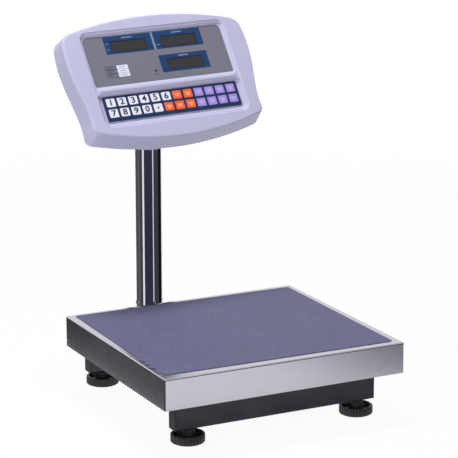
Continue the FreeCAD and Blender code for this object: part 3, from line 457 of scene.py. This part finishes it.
def digit(name, text, u, v, level, body):
    """Thin print of one digit, centred on (u, v)."""
    curve = bpy.data.curves.new(name, "FONT")
    curve.body = text
    curve.size = DIGIT_SIZE * MM
    curve.align_x = "CENTER"
    curve.align_y = "CENTER"
    curve.offset = DIGIT_BOLD * MM
    curve.extrude = PRINT / 2 * MM
    curve.resolution_u = LETTER_RESOLUTION
    mesh = curve_to_mesh(name, curve, level + PRINT / 2 - PRINT_SUNK / 2, (u, v), DIGIT_WIDEN)
    return add_piece(name, mesh, inks["black"], body)


# ---------------------------------------------------------------- prints on the display window
# Boxes are (left, right, top, bottom) in face millimetres
GLASS_HALF_WIDTH, GLASS_HALF_HEIGHT = 31.25, 8.9
GLASS_MIDDLES = {"weight": (-45.0, 17.9), "unit_price": (42.0, 17.9), "total": (42.0, 54.3)}
SURROUNDS = {"weight": (-86.0, -3.9, 1.6, 29.3), "unit_price": (0.3, 83.7, 1.6, 29.1),
             "total": (-1.2, 83.5, 38.8, 66.2)}
# Width and level of the dark rim inside each glass opening, which is partly painted shade along the glass's edge
SHADED_BEZEL, SHADED_BEZEL_LEVEL = 1.5, -0.3
TITLE_HALF, TITLE_DOWN, TITLE_HEIGHT = 9.0, 2.6, 1.4
SIDE_MARKS = {"weight": (12.5, 22.0), "unit_price": (22.0,)}        # how far down each mark's middle is
SIDE_MARK_IN, SIDE_MARK_HALF, SIDE_MARK_HALF_HEIGHT = 4.8, 2.2, 0.5
DIVIDER = (-2.4, -1.2, 1.6, 29.2)
TABLE_TOP, TABLE_ROWS, TABLE_ROW = 47.1, 3, 6.15
TABLE_CELL = (-97.0, -77.2)             # left and right of the outlined cells
TABLE_VALUE = (-77.0, -57.8)            # and of the white ones
TABLE_LINE = 0.6
LAMP = (-12.6, 61.9, 1.9)               # middle and radius
LAMP_MARK = (-16.2, -10.8, 66.9, 68.1)


def make_displays():
    """Blue surround, a dark rim round the glass that is partly the display's own rim and partly painted shade at
    the glass's edge, and title of each display, and the marks beside two of them.
    """
    for key, surround in SURROUNDS.items():
        u, v = GLASS_MIDDLES[key]
        top = surround[2] + TITLE_DOWN
        glass = around(u, v, GLASS_HALF_WIDTH, GLASS_HALF_HEIGHT)
        opening = rounded(glass, 0.3, 2)
        printed("surround_" + key, [rounded(surround, 0.6, 3), opening], "blue")
        printed("bezel_" + key, [opening, rounded(shrunk(glass, SHADED_BEZEL), 0.8, 3)], "shaded_bezel", SHADED_BEZEL_LEVEL)
        printed("title_" + key, [rounded((u - TITLE_HALF, u + TITLE_HALF, top, top + TITLE_HEIGHT), 0.5, 3)],
                "dim", PRINT)
    for key, places in SIDE_MARKS.items():
        u = SURROUNDS[key][0] + SIDE_MARK_IN
        for i, v in enumerate(places):
            mark = around(u, v, SIDE_MARK_HALF, SIDE_MARK_HALF_HEIGHT)
            printed(f"side_mark_{key}_{i + 1}", [rounded(mark, 0.4, 2)], "dim", PRINT)
    printed("surround_divider", [rounded(DIVIDER, 0.4, 2)], "dim")


def make_table():
    """Rows of a small table: outlined cells with a line of text on the left, white ones on the right."""
    for row in range(TABLE_ROWS):
        top = TABLE_TOP + row * TABLE_ROW
        cell = (*TABLE_CELL, top, top + TABLE_ROW - 0.5)
        text = (-94.0, -82.0 - 2.0 * row, top + 2.3, top + 3.2)
        value = (*TABLE_VALUE, top, top + TABLE_ROW - 0.6)
        value_text = (-73.5, -62.0, top + 2.5, top + 3.1)
        printed(f"table_cell_{row + 1}", [rounded(cell, 0.4, 2), rounded(shrunk(cell, TABLE_LINE), 0.3, 2)],
                "navy")
        printed(f"table_text_{row + 1}", [rounded(text, 0.3, 2)], "navy")
        printed(f"table_value_{row + 1}", [rounded(value, 0.4, 2)], "white")
        printed(f"table_value_text_{row + 1}", [rounded(value_text, 0.3, 2)], "navy", PRINT)


def make_indicator():
    """Indicator lamp with a short mark under it."""
    printed("indicator_lamp", [circle(*LAMP)], "black")
    printed("indicator_mark", [rounded(LAMP_MARK, 0.5, 3)], "navy")


make_displays()
make_table()
make_indicator()

# ---------------------------------------------------------------- key legends
ROW_TEXT = {1: "123456", 2: "7890."}
KEY_COLUMNS, ORANGE_TO = 12, 8          # keys after the digits are orange up to this column, then purple
DIGIT_SIZE, DIGIT_BOLD, DIGIT_WIDEN = 12.6, 0.32, 1.2
POINT_RADIUS = 1.6
UPPER_BAR = (4.2, -1.9, -0.4, 0.6)      # half width, top, bottom, corner radius
LOWER_BAR = (3.0, 1.1, 2.3, 0.5)


def make_legends():
    """Digits and the point on the white keys, two pale bars on each of the others."""
    for row, row_text in ROW_TEXT.items():
        for column in range(1, KEY_COLUMNS + 1):
            key = f"key_r{row}_c{column:02d}"
            legend = f"legend_r{row}_c{column:02d}"
            u, v, level = key_place(key)
            text = row_text[column - 1:column]
            if text == ".":
                printed(legend, [circle(u, v, POINT_RADIUS)], "black", level, key)
            elif text:
                digit(legend, text, u, v, level, key)
            else:
                bars = [rounded((u - half, u + half, v + top, v + bottom), radius, 3)
                        for half, top, bottom, radius in (UPPER_BAR, LOWER_BAR)]
                printed(legend, bars, "light_orange" if column <= ORANGE_TO else "light_purple", level, key)


make_legends()

# ---------------------------------------------------------------- ridge under the display window
RIDGE_PROFILE = ((78.0, 0.3), (79.6, 2.5), (81.4, 3.7), (83.4, 4.35), (85.2, 4.55), (86.6, 4.3), (87.6, 3.6),
                 (88.2, 2.6))           # down the face and outwards
RIDGE_HALF, RIDGE_TAPER, RIDGE_TAPER_STEPS = 121.0, 6.0, 6
RIDGE_ROOT = 2.0                        # level that the profile shrinks towards at its ends
RIDGE_END = 0.25                        # share of the profile left there
RIDGE_BURIED = (1.0, -1.0)              # levels of its lower and upper root, inside the shell


def make_ridge():
    """Rounded crest of the shell between the window and the keypad, dying out at both ends."""
    stations = [-RIDGE_HALF + RIDGE_TAPER * i / RIDGE_TAPER_STEPS for i in range(RIDGE_TAPER_STEPS + 1)]
    stations += [-u for u in reversed(stations)]
    root = [(RIDGE_PROFILE[-1][0], RIDGE_BURIED[0]), (RIDGE_PROFILE[0][0], RIDGE_BURIED[1])]
    bm = bmesh.new()
    rings = []
    for u in stations:
        share = min(1.0, (RIDGE_HALF - abs(u)) / RIDGE_TAPER)
        swell = RIDGE_END + (1.0 - RIDGE_END) * math.sqrt(1.0 - (1.0 - share) ** 2)
        outer = [(v, RIDGE_ROOT + (w - RIDGE_ROOT) * swell) for v, w in RIDGE_PROFILE]
        rings.append([bm.verts.new(on_face(u, v, w)) for v, w in outer + root])
    for a, b in zip(rings, rings[1:]):
        for i in range(len(a)):
            j = (i + 1) % len(a)
            bm.faces.new((a[i], a[j], b[j], b[i]))
    bm.faces.new(rings[0])
    bm.faces.new(list(reversed(rings[-1])))
    bmesh.ops.recalc_face_normals(bm, faces=bm.faces)
    for face in bm.faces:
        face.smooth = len(face.verts) == 4
    mesh = bpy.data.meshes.new("shell_ridge")
    bm.to_mesh(mesh)
    bm.free()
    add_piece("shell_ridge", mesh, looks["shell_plastic"], "head")


make_ridge()

# ---------------------------------------------------------------- mat
MAT_EDGE_STEPS = 160
MAT_EDGE_ROUND = 0.00025
WORN_FROM, WORN_BY, WORN_WOBBLE = 0.72, 0.0026, 0.0004      # share of the left edge; depth; unevenness
WORN_BLEND = 0.03
NICKS = {0.789: 0.0055, 0.844: 0.0045, 0.899: 0.0065, 0.975: 0.006}     # share of the edge: depth
NICK_HALF, NICK_POWER = 0.016, 0.6


def mat_outline():
    """Mat film laid a little askew, its left edge worn into small nicks towards the front."""
    low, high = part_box("platform_mat")
    left_back = Vector((low.x + 0.0023, high.y + 0.0007))
    left_front = Vector((low.x - 0.0034, low.y + 0.0048))
    right_back = Vector((high.x + 0.0003, high.y - 0.0025))
    right_front = Vector((high.x - 0.0022, low.y))
    left = []
    wobble = random.Random(5)
    for i in range(MAT_EDGE_STEPS + 1):
        t = i / MAT_EDGE_STEPS
        p = left_back.lerp(left_front, t)
        if t > WORN_FROM:
            p.x -= WORN_BY * min(1.0, (t - WORN_FROM) / WORN_BLEND)
            p.x += wobble.uniform(-WORN_WOBBLE, WORN_WOBBLE)
        for centre, depth in NICKS.items():
            near = max(0.0, 1.0 - abs(t - centre) / NICK_HALF)
            p.x += depth * near ** NICK_POWER
        left.append(p)
    front = [left_front.lerp(right_front, f) for f in (0.012, 0.3, 0.6, 0.99)]
    front[0].y += 0.0006
    right = [right_front.lerp(right_back, f) for f in (0.01, 0.5, 0.99)]
    back = [right_back.lerp(left_back, f) for f in (0.01, 0.5, 0.99)]
    return left[1:-2] + front + right + back


def make_mat():
    """The mat film between the CAD mat's levels, with a small round along its top edge."""
    low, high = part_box("platform_mat")
    bm = bmesh.new()
    face = bm.faces.new([bm.verts.new((p.x, p.y, low.z)) for p in mat_outline()])
    raised = bmesh.ops.extrude_face_region(bm, geom=[face])
    top = [g for g in raised["geom"] if isinstance(g, bmesh.types.BMVert)]
    for vert in top:
        vert.co.z = high.z
    bmesh.ops.recalc_face_normals(bm, faces=bm.faces)
    rim = [e for e in bm.edges if all(v in top for v in e.verts)]
    bmesh.ops.bevel(bm, geom=rim, offset=MAT_EDGE_ROUND, segments=2, affect="EDGES", clamp_overlap=True)
    bmesh.ops.triangulate(bm, faces=[f for f in bm.faces if len(f.verts) > 4])
    mesh = bpy.data.meshes.new("mat_film")
    bm.to_mesh(mesh)
    bm.free()
    piece = add_piece("mat_film", mesh, looks["mat_film"], "platform")
    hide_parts("platform_mat")


make_mat()

# ---------------------------------------------------------------- world and floor
AMBIENT = 0.2
FLOOR = -0.0125                     # below the soles, by a little more than the feet can be wound out
FLOOR_HALF = 8.0
FLOOR_GREY = (0.8, 0.8, 0.8, 1.0)
FLOOR_WHITENESS = 0.95              # near the object; it grows to 1 over these distances
FLOOR_FADE = (0.4, 2.0)


def make_world():
    """Even pale light, which the camera and gloss see as plain white."""
    world = bpy.data.worlds.new("studio")
    scene.world = world
    world.use_nodes = True
    world.node_tree.nodes.clear()
    tree = Nodes(world.node_tree)
    ambient = tree.node("ShaderNodeBackground", Color=WHITE, Strength=AMBIENT)
    white = tree.node("ShaderNodeBackground", Color=WHITE, Strength=1.0)
    tree.node("ShaderNodeOutputWorld", Surface=tree.blend(tree.seen(), ambient, white))


def floor_material():
    """Pale diffuse floor that camera and gloss see as nearly white, and as plain white further out."""
    s = Shader("floor")
    diffuse = s.node("ShaderNodeBsdfDiffuse", Color=FLOOR_GREY)
    glow = s.node("ShaderNodeEmission", Color=WHITE, Strength=1.0)
    reach = s.node("ShaderNodeVectorMath", s.place())
    reach.operation = "LENGTH"
    whiteness = s.span(reach.outputs["Value"], FLOOR_WHITENESS, 1.0, *FLOOR_FADE)
    s.surface(s.blend(s.math("MULTIPLY", s.seen(), whiteness), diffuse, glow))
    return s.material


def make_floor():
    """Flat floor, low enough for the levelling feet to be wound right out above it."""
    corners = [(x * FLOOR_HALF, y * FLOOR_HALF, FLOOR) for x, y in ((-1, -1), (1, -1), (1, 1), (-1, 1))]
    mesh = bpy.data.meshes.new("floor")
    mesh.from_pydata(corners, [], [(0, 1, 2, 3)])
    mesh.materials.append(floor_material())
    floor = bpy.data.objects.new("floor", mesh)
    scene.collection.objects.link(floor)


make_world()
make_floor()

# ---------------------------------------------------------------- cards that only gloss sees
CARD_RADIUS, CARD_STEP = 0.036, 8.0     # ring round the column, in panels of about this many degrees
CARD_LOW, CARD_HIGH = 0.03, 0.4
# Name, first and last share of the column's radius where the card shows, and tone
COLUMN_CARDS = (("left", -0.99, -0.8, (0.085, 0.083, 0.095)),
                ("left_soft", -0.8, -0.66, (0.12, 0.118, 0.13)),
                ("left_deep", -0.66, -0.46, (0.06, 0.06, 0.068)),
                ("middle", -0.33, 0.3, (0.035, 0.036, 0.055)),
                ("right", 0.38, 0.72, (0.05, 0.049, 0.056)),
                ("right_deep", 0.72, 0.93, (0.008, 0.008, 0.01)),
                ("bright_left", -0.46, -0.33, (0.95, 0.95, 1.0)),
                ("bright_right", 0.3, 0.38, (0.75, 0.73, 0.92)))
SIDE_TONE = (0.075, 0.073, 0.08)
SIDE_BACK_TONE = (0.028, 0.027, 0.03)
SIDE_CARD_GAP = 0.055                   # between the pan's left face and the cards beside it
SIDE_CARD_FRONT = 0.1                   # their reach past the pan's front edge
SIDE_CARD_BREAK, SIDE_CARD_END = 0.04, 0.4      # change of tone and far end, past its back edge
BLACK_TONE, WHITE_TONE, FALL_TONE = (0.0, 0.0, 0.0), (1.0, 1.0, 1.0), (0.22, 0.21, 0.25)
# Name, left and right end, near and far edge in front of the pan, height, tone at the left and at the right
LEVEL_CARDS = (("beam", -0.3, 0.45, 0.004, 0.109, 0.0005, BLACK_TONE, BLACK_TONE),
               ("pan_fall", 0.12, 0.34, 0.144, 0.554, 0.001, WHITE_TONE, FALL_TONE),
               ("pan_end", 0.34, 0.7, 0.144, 0.554, 0.001, FALL_TONE, FALL_TONE))
FACE_LOW_TONE, FACE_HIGH_TONE = (0.3, 0.3, 0.31), (0.2, 0.2, 0.21)
FACE_CARD_AWAY, FACE_CARD_HALF = 0.8, 0.35


def sheet(name, corners, tones):
    """Card seen only in gloss; each of its four corners glows in its own tone."""
    mesh = bpy.data.meshes.new(name)
    mesh.from_pydata([tuple(corner) for corner in corners], [], [(0, 1, 2, 3)])
    layer = mesh.color_attributes.new("tone", "FLOAT_COLOR", "POINT")
    for entry, tone in zip(layer.data, tones):
        entry.color = (*tone, 1.0)
    s = Shader(name)
    stored = s.node("ShaderNodeVertexColor")
    stored.layer_name = "tone"
    s.surface(s.node("ShaderNodeEmission", Color=stored.outputs["Color"], Strength=1.0).outputs[0])
    mesh.materials.append(s.material)
    plane = bpy.data.objects.new(name, mesh)
    scene.collection.objects.link(plane)
    plane.visible_camera = False
    plane.visible_diffuse = False
    plane.visible_shadow = False
    plane.visible_transmission = False


def upright_card(name, a, b, low, high, tone):
    """Upright card from plan point a to b."""
    sheet(name, ((a[0], a[1], low), (b[0], b[1], low), (b[0], b[1], high), (a[0], a[1], high)), [tone] * 4)


def level_card(name, x0, x1, y0, y1, level, left, right):
    """Level card, from one tone at x0 to another at x1."""
    sheet(name, ((x0, y0, level), (x1, y0, level), (x1, y1, level), (x0, y1, level)),
          [left, right, right, left])


def shown_at(share, radius):
    """Angle on the ring that a column reflects at this share of its radius, right of the middle."""
    return -math.degrees(2 * math.asin(share) - math.asin(radius * share / CARD_RADIUS))


def make_column_cards():
    """Ring of upright cards; angles are from the camera's direction, to the left positive."""
    low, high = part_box("column_tube")
    centre = Vector(((low.x + high.x) / 2, (low.y + high.y) / 2))
    radius = (high.x - low.x) / 2
    toward = Vector((-math.sin(CAMERA_AZIMUTH), -math.cos(CAMERA_AZIMUTH)))
    left = Vector((-math.cos(CAMERA_AZIMUTH), math.sin(CAMERA_AZIMUTH)))
    for side, first_share, last_share, tone in COLUMN_CARDS:
        first = shown_at(first_share, radius)
        last = shown_at(last_share, radius)
        count = max(1, round(abs(last - first) / CARD_STEP))
        turns = [math.radians(first + (last - first) * i / count) for i in range(count + 1)]
        places = [centre + (toward * math.cos(turn) + left * math.sin(turn)) * CARD_RADIUS for turn in turns]
        for i, (a, b) in enumerate(zip(places, places[1:])):
            upright_card(f"card_{side}_{i + 1}", a, b, CARD_LOW, CARD_HIGH, tone)


def make_pan_cards():
    """Dark cards beside the pan's left face, and level ones in front: under the beam, and to the right."""
    low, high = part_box("platform_pan")
    front = (low.x - SIDE_CARD_GAP, low.y - SIDE_CARD_FRONT)
    change = (low.x - SIDE_CARD_GAP, high.y + SIDE_CARD_BREAK)
    end = (low.x - SIDE_CARD_GAP, high.y + SIDE_CARD_END)
    upright_card("card_pan_side", front, change, 0.0, high.z, SIDE_TONE)
    upright_card("card_pan_side_back", change, end, 0.0, high.z, SIDE_BACK_TONE)
    for name, x0, x1, near, far, level, left, right in LEVEL_CARDS:
        level_card("card_" + name, x0, x1, low.y - near, low.y - far, level, left, right)


def make_face_card():
    """Grey card where the tilted face mirrors the camera's line of sight."""
    mirrored = FACE_OUT * (2 * FACE_OUT.dot(TO_CAMERA)) - TO_CAMERA
    aside = mirrored.cross(Vector((0, 0, 1))).normalized()
    above = aside.cross(mirrored).normalized()
    middle = on_face(0.0, 60.0) + mirrored * FACE_CARD_AWAY
    aside *= FACE_CARD_HALF
    above *= FACE_CARD_HALF
    sheet("card_face", (middle - aside - above, middle + aside - above,
                        middle + aside + above, middle - aside + above),
          [FACE_LOW_TONE, FACE_LOW_TONE, FACE_HIGH_TONE, FACE_HIGH_TONE])


make_column_cards()
make_pan_cards()
make_face_card()

# ---------------------------------------------------------------- lamps
# Name, place, the point it is aimed at, width and height, and watts
LAMPS = (("key", (-2.2, -1.3, 1.2), (0.0, 0.0, 0.35), (0.9, 0.9), 24.0),
         ("low", (-0.5, -1.4, 0.2), (0.0, 0.1, 0.4), (1.0, 0.4), 5.0),
         ("top", (-0.2, 0.2, 2.4), (0.0, 0.0, 0.1), (0.6, 0.6), 48.0))


def area_lamp(name, location, target, size, power):
    """Soft lamp that gloss doesn't see."""
    data = bpy.data.lights.new(name, "AREA")
    data.shape = "RECTANGLE"
    data.size, data.size_y = size
    data.energy = power
    lamp = bpy.data.objects.new(name, data)
    scene.collection.objects.link(lamp)
    lamp.location = location
    aim(lamp, Vector(target) - Vector(location))
    lamp.visible_glossy = False


for lamp_values in LAMPS:
    area_lamp(*lamp_values)
